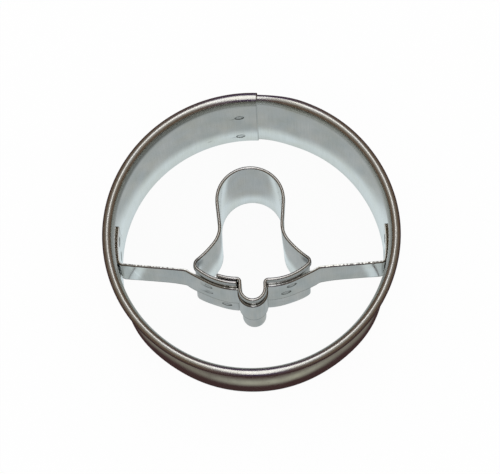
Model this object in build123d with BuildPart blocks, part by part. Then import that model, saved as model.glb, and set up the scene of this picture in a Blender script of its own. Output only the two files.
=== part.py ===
from build123d import *
import math
import os

# A cookie cutter that stamps a round biscuit with a bell-shaped window. Three formed strips of
# tinplate are spot-welded together: a ring with a rolled bead along its top, a bell with a folded
# hem, and a bridge strap that joins the two half-way up. Millimetres and degrees. The origin is on
# the ring's axis, level with both cutting edges. +Z is up, +Y is towards the bell's crown, and the
# clapper points to -Y.

# Sheet, joints and welds
sheet = 0.26
strap_sheet = 0.34
layer_gap = 0.04
weld_diameter = 1.8
weld_fit = 0.01
weld_dimple = 0.06
punch_overrun = 0.2

# Ring band. Its lap lies at the back, where the outer end covers the inner end.
ring_diameter = 48.0
ring_height = 18.6
curl_hollow = 1.08
curl_angle = 300.0
lap_curl_angle = 250.0
lap_inner_angle = 86.0
lap_outer_angle = 101.5
lap_margin_angle = 1.5
lap_opening_angle = 6.0
lap_closing_angle = 18.0
blend_steps = 6
ring_weld_angle = 94.0
ring_weld_low = 2.8
ring_weld_high = 11.9

# Bell band, laid out along the inner face of its wall. Its lap lies on the left front panel.
bell_height = 17.2
hem_depth = 1.3
crown_radius = 5.15
waist_inset = 0.35
waist_drop = 4.05
flare_step = 0.96
flare_drop = 3.33
skirt_drop = 3.37
mouth_half_width = 9.25
mouth_y = -5.1
mouth_radius = 9.1
mouth_bend = 0.4
lap_mouth_bend = 0.7
notch_drop = 2.6
clapper_half_width = 1.75
clapper_neck = 1.65
bell_lap_spring = 0.18
bell_lap_spread = 0.45
bell_lap_overlap = 3.1
bell_lap_end_gap = 0.11
bell_weld_setback = 2.05
bell_weld_height = 3.1

# Bridge strap, laid out along its front face
strap_height = 8.0
strap_drop = 1.8
strap_notch_bend = 0.16
knee_bend = 1.1
left_knee_reach = 1.55
left_knee_drop = 0.2
right_knee_reach = 1.65
right_knee_drop = 0.42
left_arm_angle = 190.4
right_arm_angle = -12.85
tab_length = 6.7
tab_bend = 0.9
strap_weld_low = 8.8
strap_weld_high = 12.0
left_weld_setback = 1.9
right_weld_low_setback = 3.8
right_weld_high_setback = 2.9
tab_weld_low_setback = 3.6
tab_weld_high_setback = 2.0

# Radii and steps that follow from the sizes above
hem_thickness = 2 * sheet
layer_step = sheet + layer_gap
strap_step = layer_step + strap_sheet
bead_radius = curl_hollow / 2 + sheet
bead_line_radius = ring_diameter / 2 - bead_radius
bead_line_height = ring_height - bead_radius
ring_inner_radius = bead_line_radius - bead_radius
lap_curl_radius = bead_radius - layer_step
bell_lap_step = hem_thickness + bell_lap_spring
bell_lap_radius = mouth_radius + bell_lap_step
notch_bend = strap_notch_bend + strap_step
strap_clapper_radius = clapper_half_width + strap_step
left_strap_radius = bell_lap_radius + strap_step
right_strap_radius = mouth_radius + strap_step
strap_base = bell_height - hem_depth - strap_drop - strap_height
tab_radius = ring_inner_radius - layer_gap
weld_radius = weld_diameter / 2
hole_radius = weld_radius + weld_fit


def polar(centre, radius, angle):
    """The point at a distance and an angle from a centre, in plan."""
    turn = math.radians(angle)
    return Vector(centre.X + radius * math.cos(turn), centre.Y + radius * math.sin(turn))


def angle_to(centre, point):
    """The angle at which a point is seen from a centre, in plan."""
    return math.degrees(math.atan2(point.Y - centre.Y, point.X - centre.X))


def below(centre, radius, x):
    """The point of a circle's front half that has the given x."""
    return Vector(x, centre.Y - math.sqrt(radius**2 - (x - centre.X) ** 2))


def circle_centre(start, end, radius):
    """The centre of a circle through two points, to the left of the way from one to the other."""
    chord = end - start
    rise = math.sqrt(radius**2 - (chord.length / 2) ** 2)
    return (start + end) / 2 + chord.normalized().rotate(Axis.Z, 90) * rise


def tangent_point(centre, radius, point, side):
    """Where a line from a point touches a circle; side is 1 or -1 for the two tangents."""
    spread = math.degrees(math.acos(radius / (point - centre).length))
    return polar(centre, radius, angle_to(centre, point) + side * spread)


def mirrored(point):
    """The same point on the other side of the bell's line of symmetry."""
    return Vector(-point.X, point.Y)


def arc_between(centre, radius, start, end):
    """An arc about a centre from one point to another, the short way round."""
    middle = centre + (start + end - centre * 2).normalized() * radius
    return ThreePointArc(start, middle, end)


def strip_plane(start, outward):
    """The plane of a strip's section: x runs out through the sheet and y runs up."""
    return Plane(origin=start, x_dir=outward, z_dir=outward.cross(Vector(0, 0, 1)))


# Corners of the bell's plan and centres of its arcs
origin = Vector(0, 0)
mouth_corner = Vector(mouth_half_width, mouth_y)
notch = Vector(clapper_half_width, mouth_y - notch_drop)
clapper_centre = Vector(0, notch.Y - clapper_neck)
panel_centre = circle_centre(notch, mouth_corner, mouth_radius)
lap_corner = mirrored(mouth_corner)
lap_end = Vector(-strap_clapper_radius - bell_lap_end_gap, notch.Y - bell_lap_spread)
lap_centre = circle_centre(lap_corner, lap_end, bell_lap_radius)
lap_start = below(lap_centre, mouth_radius, lap_end.X - bell_lap_overlap)
lap_notch = below(lap_centre, mouth_radius, -clapper_half_width)
flare = Vector(crown_radius - waist_inset + flare_step, mouth_y + skirt_drop)
waist = Vector(crown_radius - waist_inset, flare.Y + flare_drop)
crown_centre = Vector(0, waist.Y + waist_drop)
crown_edge = tangent_point(crown_centre, crown_radius, waist, 1)
crown_angle = angle_to(crown_centre, crown_edge)

# Corners of the strap's plan
left_corner = polar(origin, tab_radius, left_arm_angle)
right_corner = polar(origin, tab_radius, right_arm_angle)
left_knee = lap_corner + Vector(-left_knee_reach, -left_knee_drop)
right_knee = mouth_corner + Vector(right_knee_reach, -right_knee_drop)
left_leaving = tangent_point(lap_centre, left_strap_radius, left_knee, 1)
right_leaving = tangent_point(panel_centre, right_strap_radius, right_knee, -1)
left_notch = below(lap_centre, left_strap_radius, -strap_clapper_radius)
right_notch = below(panel_centre, right_strap_radius, strap_clapper_radius)


def panel_angle(centre, radius, x):
    """The angle about a front panel's centre at which a face of some radius has the given x."""
    return angle_to(centre, below(centre, radius, x))


def tab_angle(end_angle, setback):
    """The angle on the ring at a distance from the free end of a tab."""
    return end_angle + math.degrees(setback / tab_radius)


def weld_planes(centre, radius, places):
    """Planes square to a curved wall, one for each angle and height, facing out of it."""
    planes = []
    for angle, height in places:
        spot = polar(centre, radius, angle) + Vector(0, 0, height)
        planes.append(Plane(origin=spot, x_dir=(0, 0, 1), z_dir=polar(origin, 1, angle)))
    return planes


# Each group of spot welds: the centre of the wall that it goes through, that wall's inner radius,
# the thickness of the stack, and the angle and height of each weld
tab_sweep_angle = math.degrees(tab_length / tab_radius)
left_tab_angle = left_arm_angle - tab_sweep_angle
right_tab_angle = right_arm_angle + tab_sweep_angle
bell_weld_x = lap_end.X - bell_weld_setback
bell_weld_angle = panel_angle(lap_centre, bell_lap_radius + sheet, bell_weld_x)
left_weld_x = lap_corner.X + left_weld_setback
left_weld_angle = panel_angle(lap_centre, left_strap_radius, left_weld_x)
right_low_x = mouth_corner.X - right_weld_low_setback
right_low_angle = panel_angle(panel_centre, right_strap_radius, right_low_x)
right_high_x = mouth_corner.X - right_weld_high_setback
right_high_angle = panel_angle(panel_centre, right_strap_radius, right_high_x)
weld_groups = {
    "ring_lap_welds": (
        origin,
        ring_inner_radius,
        layer_step + sheet,
        [(ring_weld_angle, ring_weld_low), (ring_weld_angle, ring_weld_high)],
    ),
    "bell_lap_weld": (
        lap_centre,
        mouth_radius,
        bell_lap_step + sheet,
        [(bell_weld_angle, bell_weld_height)],
    ),
    "left_panel_welds": (
        lap_centre,
        bell_lap_radius,
        strap_step,
        [(left_weld_angle, strap_weld_low), (left_weld_angle, strap_weld_high)],
    ),
    "right_panel_welds": (
        panel_centre,
        mouth_radius,
        strap_step,
        [(right_low_angle, strap_weld_low), (right_high_angle, strap_weld_high)],
    ),
    "left_tab_welds": (
        origin,
        tab_radius - strap_sheet,
        strap_step,
        [
            (tab_angle(left_tab_angle, tab_weld_low_setback), strap_weld_low),
            (tab_angle(left_tab_angle, tab_weld_high_setback), strap_weld_high),
        ],
    ),
    "right_tab_welds": (
        origin,
        tab_radius - strap_sheet,
        strap_step,
        [
            (tab_angle(right_tab_angle, -tab_weld_low_setback), strap_weld_low),
            (tab_angle(right_tab_angle, -tab_weld_high_setback), strap_weld_high),
        ],
    ),
}


def punch(*groups):
    """Cut the round holes of some groups of welds through the part that is being built."""
    for group in groups:
        centre, radius, stack, places = weld_groups[group]
        for plane in weld_planes(centre, radius - punch_overrun, places):
            with BuildSketch(plane) as hole:
                Circle(hole_radius)
            extrude(hole.sketch, amount=stack + 2 * punch_overrun, mode=Mode.SUBTRACT)


def ring_section(angle, curl_radius, turn):
    """The ring's section at an angle: a wall that stands under the inner side of its curl."""
    centre = (bead_line_radius, bead_line_height)
    inner = bead_line_radius - curl_radius
    hollow = curl_radius - sheet
    half_turn = turn / 2
    with BuildSketch(Plane.XZ.rotated((0, 0, angle))) as section:
        with BuildLine():
            Line((inner, 0), (inner, bead_line_height))
            CenterArc(centre, curl_radius, 180, -half_turn)
            outer_fall = CenterArc(centre, curl_radius, 180 - half_turn, -half_turn)
            inner_fall = CenterArc(centre, hollow, 180 - turn, half_turn)
            inner_rise = CenterArc(centre, hollow, 180 - half_turn, half_turn)
            Line(outer_fall @ 1, inner_fall @ 0)
            Line(inner_rise @ 1, (inner + sheet, 0))
            Line((inner + sheet, 0), (inner, 0))
        make_face()
    return section.sketch


def blended(start_angle, end_angle, start_form, end_form):
    """Sections that lead smoothly from one curl radius and turn to another."""
    sections = []
    for step in range(blend_steps + 1):
        share = step / blend_steps
        ease_share = (1 - math.cos(math.pi * share)) / 2
        form = [first + (last - first) * ease_share for first, last in zip(start_form, end_form)]
        sections.append(ring_section(start_angle + (end_angle - start_angle) * share, *form))
    return sections


# Ring band: one strip, bent once round and over its own start. At the lap both curls are opened a
# little, and the outer layer's curl lies inside the inner layer's.
plain_form = (bead_radius, curl_angle)
open_form = (bead_radius, lap_curl_angle)
nested_form = (lap_curl_radius, lap_curl_angle)
open_angle = lap_outer_angle + lap_margin_angle
plain_start_angle = open_angle + lap_opening_angle
nested_angle = lap_inner_angle + 360
plain_end_angle = nested_angle - lap_closing_angle
with BuildPart() as ring_band:
    revolve(ring_section(lap_inner_angle, *open_form), Axis.Z, open_angle - lap_inner_angle)
    loft(blended(open_angle, plain_start_angle, open_form, plain_form))
    revolve(ring_section(plain_start_angle, *plain_form), Axis.Z, plain_end_angle - plain_start_angle)
    loft(blended(plain_end_angle, nested_angle, plain_form, nested_form))
    revolve(ring_section(nested_angle, *nested_form), Axis.Z, lap_outer_angle - lap_inner_angle)
    punch("ring_lap_welds", "left_tab_welds", "right_tab_welds")


def bell_side(corner):
    """One side of the bell, from the crown's arc down to a corner of its mouth."""
    taper = Line(crown_edge, waist)
    shoulder = TangentArc(waist, flare, tangent=taper % 1)
    TangentArc(flare, corner, tangent=shoulder % 1)


# Bell band: one strip, which starts on the left front panel, runs round the clapper, the right
# panel, the crown and the left side, and ends over its own start.
with BuildLine() as bell_line:
    arc_between(lap_centre, mouth_radius, lap_start, lap_notch)
    Line(lap_notch, clapper_centre + Vector(-clapper_half_width, 0))
    CenterArc(clapper_centre, clapper_half_width, 180, 180)
    Line(clapper_centre + Vector(clapper_half_width, 0), notch)
    arc_between(panel_centre, mouth_radius, notch, mouth_corner)
    bell_side(mouth_corner)
    CenterArc(crown_centre, crown_radius, crown_angle, 180 - 2 * crown_angle)
    with BuildLine(mode=Mode.PRIVATE) as left_side:
        bell_side(mirrored(lap_corner))
    mirror(left_side.line, about=Plane.YZ)
    arc_between(lap_centre, bell_lap_radius, lap_corner, lap_end)
    for corner, bend in (
        (lap_notch, notch_bend),
        (notch, notch_bend),
        (mouth_corner, mouth_bend),
        (lap_corner, lap_mouth_bend),
    ):
        fillet(bell_line.vertices().sort_by_distance(corner)[0], bend)
bell_path = bell_line.wires()[0]
bell_outward = (bell_path @ 0 - lap_centre).normalized()
hem_rise = bell_height - sheet
hem_base = bell_height - hem_depth
with BuildPart() as bell_band:
    with BuildSketch(strip_plane(bell_path @ 0, bell_outward)):
        with BuildLine():
            wall = Polyline((0, hem_rise), (0, 0), (sheet, 0), (sheet, hem_base))
            fold = Polyline(wall @ 1, (hem_thickness, hem_base), (hem_thickness, hem_rise))
            ThreePointArc(fold @ 1, (sheet, bell_height), wall @ 0)
        make_face()
    sweep(path=bell_path)
    punch("bell_lap_weld", "left_panel_welds", "right_panel_welds")

# Bridge strap: one strip from wall to wall of the ring. Two tabs lie against the ring, and the
# middle runs round the outside of the bell's front panels and clapper, under the hem.
with BuildLine() as strap_line:
    CenterArc(origin, tab_radius, left_tab_angle, tab_sweep_angle)
    Polyline(left_corner, left_knee, left_leaving)
    arc_between(lap_centre, left_strap_radius, left_leaving, left_notch)
    Line(left_notch, clapper_centre + Vector(-strap_clapper_radius, 0))
    CenterArc(clapper_centre, strap_clapper_radius, 180, 180)
    Line(clapper_centre + Vector(strap_clapper_radius, 0), right_notch)
    arc_between(panel_centre, right_strap_radius, right_notch, right_leaving)
    Polyline(right_leaving, right_knee, right_corner)
    CenterArc(origin, tab_radius, right_arm_angle, tab_sweep_angle)
    for corner, bend in (
        (left_corner, tab_bend),
        (left_knee, knee_bend),
        (left_notch, strap_notch_bend),
        (right_notch, strap_notch_bend),
        (right_knee, knee_bend),
        (right_corner, tab_bend),
    ):
        fillet(strap_line.vertices().sort_by_distance(corner)[0], bend)
strap_path = strap_line.wires()[0]
with BuildPart() as bridge_strap:
    with BuildSketch(strip_plane(strap_path @ 0, (strap_path @ 0).normalized())):
        with Locations((-strap_sheet / 2, strap_base + strap_height / 2)):
            Rectangle(strap_sheet, strap_height)
    sweep(path=strap_path)
    punch("left_panel_welds", "right_panel_welds", "left_tab_welds", "right_tab_welds")

# Spot welds: each is a round nugget that fills its hole, with a shallow dimple at both ends
pieces = {"ring_band": ring_band, "bell_band": bell_band, "bridge_strap": bridge_strap}
for name, (centre, radius, stack, places) in weld_groups.items():
    with BuildPart() as nuggets:
        for plane in weld_planes(centre, radius + weld_dimple, places):
            with BuildSketch(plane):
                Circle(weld_radius)
            extrude(amount=stack - 2 * weld_dimple)
    pieces[name] = nuggets

os.makedirs("parts", exist_ok=True)
for name, piece in pieces.items():
    piece.part.label = name
    export_step(piece.part, f"parts/{name}.step")
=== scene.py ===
"""Bell-window cookie cutter in bright tinplate.

A round cutter with a rolled bead carries a bell-shaped cutter inside it. A bridge strap joins the
two, and spot welds hold the strips together. Every strip is worked out here as one bent sheet: a
line in plan, carried along it a section, and a thickness that closes the sheet into a solid skin.
Plan points are complex numbers, x + iy, and all lengths are metres in the row frame.
"""

import math

import bpy
import numpy as np
from bpy.props import FloatProperty, FloatVectorProperty, IntProperty, PointerProperty
from mathutils import Matrix, Vector


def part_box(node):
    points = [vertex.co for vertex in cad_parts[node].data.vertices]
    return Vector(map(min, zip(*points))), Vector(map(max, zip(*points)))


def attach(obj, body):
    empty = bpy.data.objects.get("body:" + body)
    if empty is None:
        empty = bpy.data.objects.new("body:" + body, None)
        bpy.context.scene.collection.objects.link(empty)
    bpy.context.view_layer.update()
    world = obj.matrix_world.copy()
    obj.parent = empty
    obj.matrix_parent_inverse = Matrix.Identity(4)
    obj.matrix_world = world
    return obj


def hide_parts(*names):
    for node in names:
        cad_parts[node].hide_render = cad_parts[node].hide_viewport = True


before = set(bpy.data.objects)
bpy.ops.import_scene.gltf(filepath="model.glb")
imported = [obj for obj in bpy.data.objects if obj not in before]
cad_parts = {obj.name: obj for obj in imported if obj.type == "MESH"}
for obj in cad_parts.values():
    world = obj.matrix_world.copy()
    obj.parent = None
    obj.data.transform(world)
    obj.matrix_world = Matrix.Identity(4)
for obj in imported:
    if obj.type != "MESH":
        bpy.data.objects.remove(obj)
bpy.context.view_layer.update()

bl_info = {
    "name": "Bell Window Cookie Cutter",
    "version": (1, 0, 0),
    "blender": (4, 5, 0),
    "location": "3D View > Sidebar > Cutter",
    "description": "Makes a tinplate ring cutter with a bell-shaped cutter on a bridge strap",
    "category": "Add Mesh",
}

MM = 0.001
ROOT = "root"
PLAN_STEP = 0.02 * MM
RUN_POINTS = 400
# Rows lie closer together near a spot weld: how far from its middle, and at what step
WELD_ROWS = (1.05 * MM, 0.16 * MM)

ring_low, ring_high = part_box("ring_band")
_, bell_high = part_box("bell_band")
strap_low, strap_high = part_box("bridge_strap")


def length(label, default, words):
    """A length that a user can change, with its default in metres."""
    return FloatProperty(
        name=label, description=words, default=default, unit="LENGTH", precision=5
    )


def number(label, default, words):
    """A plain number that a user can change."""
    return FloatProperty(name=label, description=words, default=default)


def angle(label, degrees, words):
    """An angle that a user can change, with its default in degrees."""
    return FloatProperty(
        name=label, description=words, default=math.radians(degrees), subtype="ANGLE"
    )


def share(label, default, words):
    """A share from 0 to 1 that a user can change."""
    return FloatProperty(
        name=label, description=words, default=default, min=0.0, max=1.0, subtype="FACTOR"
    )


def colour(label, default, words):
    """A colour that a user can change."""
    return FloatVectorProperty(
        name=label, description=words, default=default, min=0.0, max=1.0, subtype="COLOR"
    )


class CutterSheet(bpy.types.PropertyGroup):
    """Tinplate and spot welds, shared by all strips."""

    sheet: length("Sheet", 0.26 * MM, "Thickness of the ring's and the bell's tinplate")
    strap_sheet: length("Strap sheet", 0.34 * MM, "Thickness of the bridge strap")
    layer_gap: length("Layer gap", 0.04 * MM, "Air between two layers that lie on each other")
    weld_diameter: length("Weld diameter", 1.8 * MM, "Width of the mark of a spot weld")
    weld_depth: length("Weld depth", 0.06 * MM, "Depth to which the electrode dents a sheet")


class CutterRing(bpy.types.PropertyGroup):
    """Outer ring with its rolled bead and its lap at the back."""

    diameter: length("Diameter", ring_high.x - ring_low.x, "Outer diameter over the bead")
    height: length("Height", ring_high.z, "From the cutting edge to the top of the bead")
    curl_hollow: length("Curl hollow", 1.08 * MM, "Width of the hollow inside the bead")
    neck_radius: length("Neck radius", 3.0 * MM, "Radius of the bend from the wall to the bead")
    neck: angle("Neck", 28, "How far the wall bends outwards before the bead begins")
    flare: length("Flare", 0.41 * MM, "How far the wall runs outwards to its cutting edge")
    foot_spread: length("Foot spread", 0.5 * MM, "How far the cutting edge is bent out in use")
    uneven: length("Uneven bead", 0.08 * MM, "How much thicker the bead is rolled at the back")
    oval: length("Out of round", 0.18 * MM, "How far the bead is pushed out to the front right")
    curl: angle("Curl", 300, "How far the edge is rolled into the bead")
    lap_curl: angle("Curl at the lap", 250, "How far the edge is rolled where the ends overlap")
    inner_end: angle("Inner end", 86, "Where the inner layer of the lap ends")
    outer_end: angle("Outer end", 101.5, "Where the outer layer of the lap ends")
    opening: angle("Opening", 6, "Length over which the bead opens after the lap")
    closing: angle("Closing", 18, "Length over which the bead narrows before the lap")
    weld: angle("Weld", 94, "Where the lap's two spot welds are")
    weld_low: length("Low weld", 2.8 * MM, "Height of the lap's lower spot weld")
    weld_high: length("High weld", 11.9 * MM, "Height of the lap's upper spot weld")
    wobble: length("Wobble", 0.03 * MM, "How far the hand-rolled ring strays from a circle")


class CutterBell(bpy.types.PropertyGroup):
    """Inner cutter in the shape of a bell."""

    height: length("Height", bell_high.z, "From the cutting edge to the top of the hem")
    hem: length("Hem", 1.3 * MM, "Depth of the hem that is folded outwards")
    crown_radius: length("Crown radius", 5.15 * MM, "Inner radius of the bell's crown")
    waist_inset: length("Waist inset", 0.35 * MM, "How much narrower the waist is than the crown")
    waist_drop: length("Waist drop", 4.05 * MM, "From the crown's centre to the waist")
    flare_step: length("Flare step", 0.96 * MM, "How far the side steps out below the waist")
    flare_drop: length("Flare drop", 3.33 * MM, "From the waist to the start of the flare")
    skirt_drop: length("Skirt drop", 3.37 * MM, "From the start of the flare to the mouth's corner")
    mouth_half_width: length("Mouth half width", 9.25 * MM, "From the middle to a mouth corner")
    mouth_y: length("Mouth line", -5.1 * MM, "Place of the mouth's corners along Y")
    mouth_radius: length("Mouth radius", 9.1 * MM, "Inner radius of the front panels")
    mouth_bend: length("Mouth bend", 0.4 * MM, "Radius of the right mouth corner")
    lap_mouth_bend: length("Lap mouth bend", 0.7 * MM, "Radius of the left mouth corner")
    notch_drop: length("Notch drop", 2.6 * MM, "From the mouth's corners to the notches")
    clapper_half_width: length("Clapper half width", 1.75 * MM, "Inner half width of the clapper")
    clapper_neck: length("Clapper neck", 1.65 * MM, "Straight length of the clapper's sides")
    lap_spring: length("Lap spring", 0.18 * MM, "How far the outer end of the lap stands off")
    lap_spread: length("Lap spread", 0.45 * MM, "How far the lap's end lies in front of the notch")
    lap_overlap: length("Lap overlap", 3.1 * MM, "Length over which the bell's ends overlap")
    lap_end_gap: length("Lap end gap", 0.11 * MM, "From the lap's outer end to the clapper")
    weld_setback: length("Weld setback", 2.05 * MM, "From the lap's outer end to its spot weld")
    weld_height: length("Weld height", 3.1 * MM, "Height of the lap's spot weld")


class CutterStrap(bpy.types.PropertyGroup):
    """Bridge strap from wall to wall of the ring."""

    height: length("Height", strap_high.z - strap_low.z, "Height of the strap")
    base: length("Base", strap_low.z, "Height of the strap's lower edge above the cutting edges")
    notch_bend: length("Notch bend", 0.16 * MM, "Radius of the strap's face at the notches")
    knee_bend: length("Knee bend", 1.1 * MM, "Radius of the bends where the arms leave the bell")
    left_knee_reach: length("Left knee reach", 1.55 * MM, "From the mouth to the knee along X")
    left_knee_drop: length("Left knee drop", 0.2 * MM, "From the mouth to the knee along Y")
    right_knee_reach: length("Right knee reach", 1.65 * MM, "From the mouth to the knee along X")
    right_knee_drop: length("Right knee drop", 0.42 * MM, "From the mouth to the knee along Y")
    tab_bend: length("Tab bend", 0.9 * MM, "Radius of the bends at the ring")
    tab_length: length("Tab length", 6.7 * MM, "Length of the tabs that lie on the ring")
    left_arm: angle("Left arm", 190.4, "Where the left arm meets the ring")
    right_arm: angle("Right arm", -12.85, "Where the right arm meets the ring")
    weld_low: length("Low welds", 8.8 * MM, "Height of the lower row of spot welds")
    weld_high: length("High welds", 12.0 * MM, "Height of the upper row of spot welds")
    left_weld: length("Left welds", 1.9 * MM, "From the mouth's left corner to the left spot welds")
    right_weld_low: length("Right low weld", 3.8 * MM, "From the right corner to the low weld")
    right_weld_high: length("Right high weld", 2.9 * MM, "From the right corner to the high weld")
    tab_weld_low: length("Low tab welds", 3.6 * MM, "From a tab's end to its low spot weld")
    tab_weld_high: length("High tab welds", 2.0 * MM, "From a tab's end to its high spot weld")
    burr: length("Burr", 0.006 * MM, "Roughness of the strap's sheared edges")
    crest: share("Crest", 0.35, "How much thicker the sheet is at its sheared edges")


class CutterFinish(bpy.types.PropertyGroup):
    """Colours and gloss of the tinplate."""

    ring_colour: colour("Ring", (0.74, 0.74, 0.72), "Colour of the ring's tinplate")
    bell_colour: colour("Bell", (0.74, 0.74, 0.73), "Colour of the bell's tinplate")
    strap_colour: colour("Strap", (0.70, 0.71, 0.70), "Colour of the strap's tinplate")
    weld_colour: colour("Weld", (0.56, 0.56, 0.54), "Colour of a spot weld's middle")
    tint_colour: colour("Heat tint", (0.085, 0.09, 0.08), "Colour of the heat tint at a weld")
    roughness: share("Roughness", 0.10, "Roughness of the clean tinplate")
    rolled_roughness: share("Rolled roughness", 0.14, "How much rougher the bead and the hem are")
    seed: IntProperty(name="Seed", description="Seed of the burrs and the ring's wobble", default=7)


class CutterStage(bpy.types.PropertyGroup):
    """Camera and light."""

    azimuth: angle("Azimuth", 2.857, "Direction of the camera about Z, from -Y")
    elevation: angle("Elevation", 72.21, "Height of the camera above the horizon")
    roll: angle("Roll", -4.52, "Turn of the camera about its line of sight")
    distance: length("Distance", 236.22 * MM, "From the camera to the point it looks at")
    lens: number("Lens", 101.16, "Focal length in mm on a 36 mm sensor")
    lamp_radiance: number("Softbox", 1.45, "Brightness of the overhead softbox")
    fill: number("Fill", 0.9, "Brightness of the light from all round")
    # Widths of the bands of painted light on the table that the metal mirrors, beside the ring and
    # inside the bell
    ring_band: length("Ring band", 1.75 * MM, "Pale table beside the ring, as the metal mirrors it")
    bell_band: length("Bell band", 1.35 * MM, "Pale table beside the bell, as the metal mirrors it")


class CutterSettings(bpy.types.PropertyGroup):
    """All sizes and colours of the cutter."""

    sheet: PointerProperty(type=CutterSheet)
    ring: PointerProperty(type=CutterRing)
    bell: PointerProperty(type=CutterBell)
    strap: PointerProperty(type=CutterStrap)
    finish: PointerProperty(type=CutterFinish)
    stage: PointerProperty(type=CutterStage)


# Points and curves

def in_plan(points):
    """Where points stand in plan, as complex numbers."""
    return points[..., 0] + 1j * points[..., 1]


def raised(plan, height):
    """Points in space, from their places in plan and their height."""
    return np.stack([plan.real, plan.imag, np.broadcast_to(height, plan.shape)], axis=-1)


def blended(stations, known, values):
    """Complex values between those at known stations, in straight steps."""
    return np.interp(stations, known, values.real) + 1j * np.interp(stations, known, values.imag)


def smooth(part):
    """A share from 0 to 1 that starts and ends slowly: thrice its square less twice its cube."""
    return part * part * (3 - 2 * part)


def ridge(values, middle, width):
    """A bell curve, 1 at its middle: e to the power of minus the squared distance in widths."""
    return np.exp(-(((values - middle) / width) ** 2))


# Lines in plan

def polar(radius, degrees, centre=0):
    """The point at a distance and an angle in degrees from a centre."""
    return centre + radius * np.exp(1j * np.radians(degrees))


def line(start, end):
    """A straight run: the start plus a growing share of the way to the end."""
    return start + (end - start) * np.linspace(0, 1, RUN_POINTS)


def arc(centre, radius, start, turn):
    """An arc: a radius about a centre, turned from a start angle through a turn, in degrees."""
    return polar(radius, np.linspace(start, start + turn, RUN_POINTS), centre)


def arc_centre(start, end, radius):
    """The centre of a circle through two points, to the left of the way from one to the other."""
    chord = end - start
    rise = math.sqrt(radius**2 - abs(chord) ** 2 / 4)
    return (start + end) / 2 + 1j * chord / abs(chord) * rise


def bow(centre, start, end):
    """The arc about a centre from one point to the direction of another, the short way round."""
    turn = np.angle((end - centre) / (start - centre))
    return centre + (start - centre) * np.exp(1j * turn * np.linspace(0, 1, RUN_POINTS))


def swing(start, end, heading):
    """An arc between two points that sets off along a heading, and the heading at its end.

    Its whole turn is twice the angle from the heading to the chord, and its centre lies square
    to the heading, at half the chord over the sine of half the turn.
    """
    turn = 2 * np.angle((end - start) / heading)
    centre = start + 1j * heading * abs(end - start) / (2 * math.sin(turn / 2))
    points = centre + (start - centre) * np.exp(1j * turn * np.linspace(0, 1, RUN_POINTS))
    return points, heading * np.exp(1j * turn)


def front(centre, radius, x):
    """The point of a circle's front half at a given x."""
    return x + 1j * (centre.imag - math.sqrt(radius**2 - (x - centre.real) ** 2))


def tangent_point(centre, radius, point, side):
    """Where a line from a point touches a circle; side is 1 or -1 for the two tangents."""
    spread = math.acos(radius / abs(point - centre))
    return centre + radius * np.exp(1j * (np.angle(point - centre) + side * spread))


def headings(points):
    """Unit directions along a line of points."""
    steps = np.gradient(points)
    return steps / np.abs(steps)


def bend(first, second, radius):
    """Two runs that meet at a corner, joined by an arc of some radius.

    The arc's centre is where the two runs cross after each is moved by the radius towards the
    inner side of the corner. The runs are cut at the points they were moved from.
    """
    side = np.sign(np.imag(headings(second)[0] / headings(first)[-1]))
    inner_first = first + side * 1j * headings(first) * radius
    inner_second = second + side * 1j * headings(second) * radius
    gaps = np.abs(inner_first[:, None] - inner_second[None, :])
    cut, start = np.unravel_index(np.argmin(gaps), gaps.shape)
    centre = (inner_first[cut] + inner_second[start]) / 2
    corner = bow(centre, first[cut], second[start])
    return first[:cut], corner, second[start + 1 :]


class StripLine:
    """The line of a strip in plan, looked up by the distance along it."""

    def __init__(self, runs, bends, ease):
        """Chains the runs, bends the corners between them and eases the joints.

        Each bend is a radius, or 0 where two runs already flow into each other. Easing is a
        running mean over a short length, which spreads each change of curvature.
        """
        parts = [runs[0]]
        for run, radius in zip(runs[1:], bends):
            if radius:
                before, corner, after = bend(parts[-1], run, radius)
                parts[-1:] = [before, corner, after]
            else:
                parts.append(run[1:])
        points = np.concatenate(parts)
        along = np.concatenate([[0], np.cumsum(np.abs(np.diff(points)))])
        self.length = along[-1]
        self.along = np.linspace(0, self.length, int(self.length / PLAN_STEP))
        even = blended(self.along, along, points)
        window = max(1, int(ease / PLAN_STEP) // 2 * 2 + 1)
        reach = window // 2
        before = 2 * even[0] - even[reach:0:-1]
        after = 2 * even[-1] - even[-2 : -2 - reach : -1]
        padded = np.concatenate([before, even, after])
        self.points = np.convolve(padded, np.ones(window) / window, mode="valid")
        self.outward = -1j * headings(self.points)

    def at(self, stations):
        """Points and outward directions at some distances along the strip."""
        outward = blended(stations, self.along, self.outward)
        return blended(stations, self.along, self.points), outward / np.abs(outward)

    def nearest(self, point):
        """The distance along the strip at which it comes nearest to a point."""
        return self.along[np.argmin(np.abs(self.points - point))]


def spaced(start, end, step, places=(), reach=0.0, fine=None):
    """Stations from start to end at a steady step, and at a finer step near some places."""
    stations = [np.linspace(start, end, max(2, int(round((end - start) / step)) + 1))]
    for place in places:
        near = np.arange(place - reach, place + reach, fine)
        stations.append(near[(near > start) & (near < end)])
    merged = np.unique(np.concatenate(stations))
    closest = 0.35 * (fine or step)
    keep = np.concatenate([[True], np.diff(merged) > closest])
    keep[-1] = True
    return merged[keep]


# Depths of the stations near a sheet's edge, in parts of the length over which it is rounded, and
# the least part of that length at which the rounding is worked out
EDGE_DEPTHS = np.array([0.0, 0.12, 0.4, 1.0, 2.0])
EDGE_MINIMUM = 0.03


def edge_stations(stations, edge):
    """Stations with four more near each end, where a sheet's edge is rounded."""
    first = stations[0] + EDGE_DEPTHS * edge
    last = stations[-1] - EDGE_DEPTHS[::-1] * edge
    inner = stations[(stations > first[-1]) & (stations < last[0])]
    return np.concatenate([first, inner, last])


def edge_rounding(stations, edge):
    """Share of the full thickness at each station: an ellipse over the last bit before an edge."""
    depth = np.minimum(stations - stations[0], stations[-1] - stations)
    inside = np.clip(depth / edge, EDGE_MINIMUM, 1)
    return np.sqrt(1 - (1 - inside) ** 2)


# Plans of the bell and the strap

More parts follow.
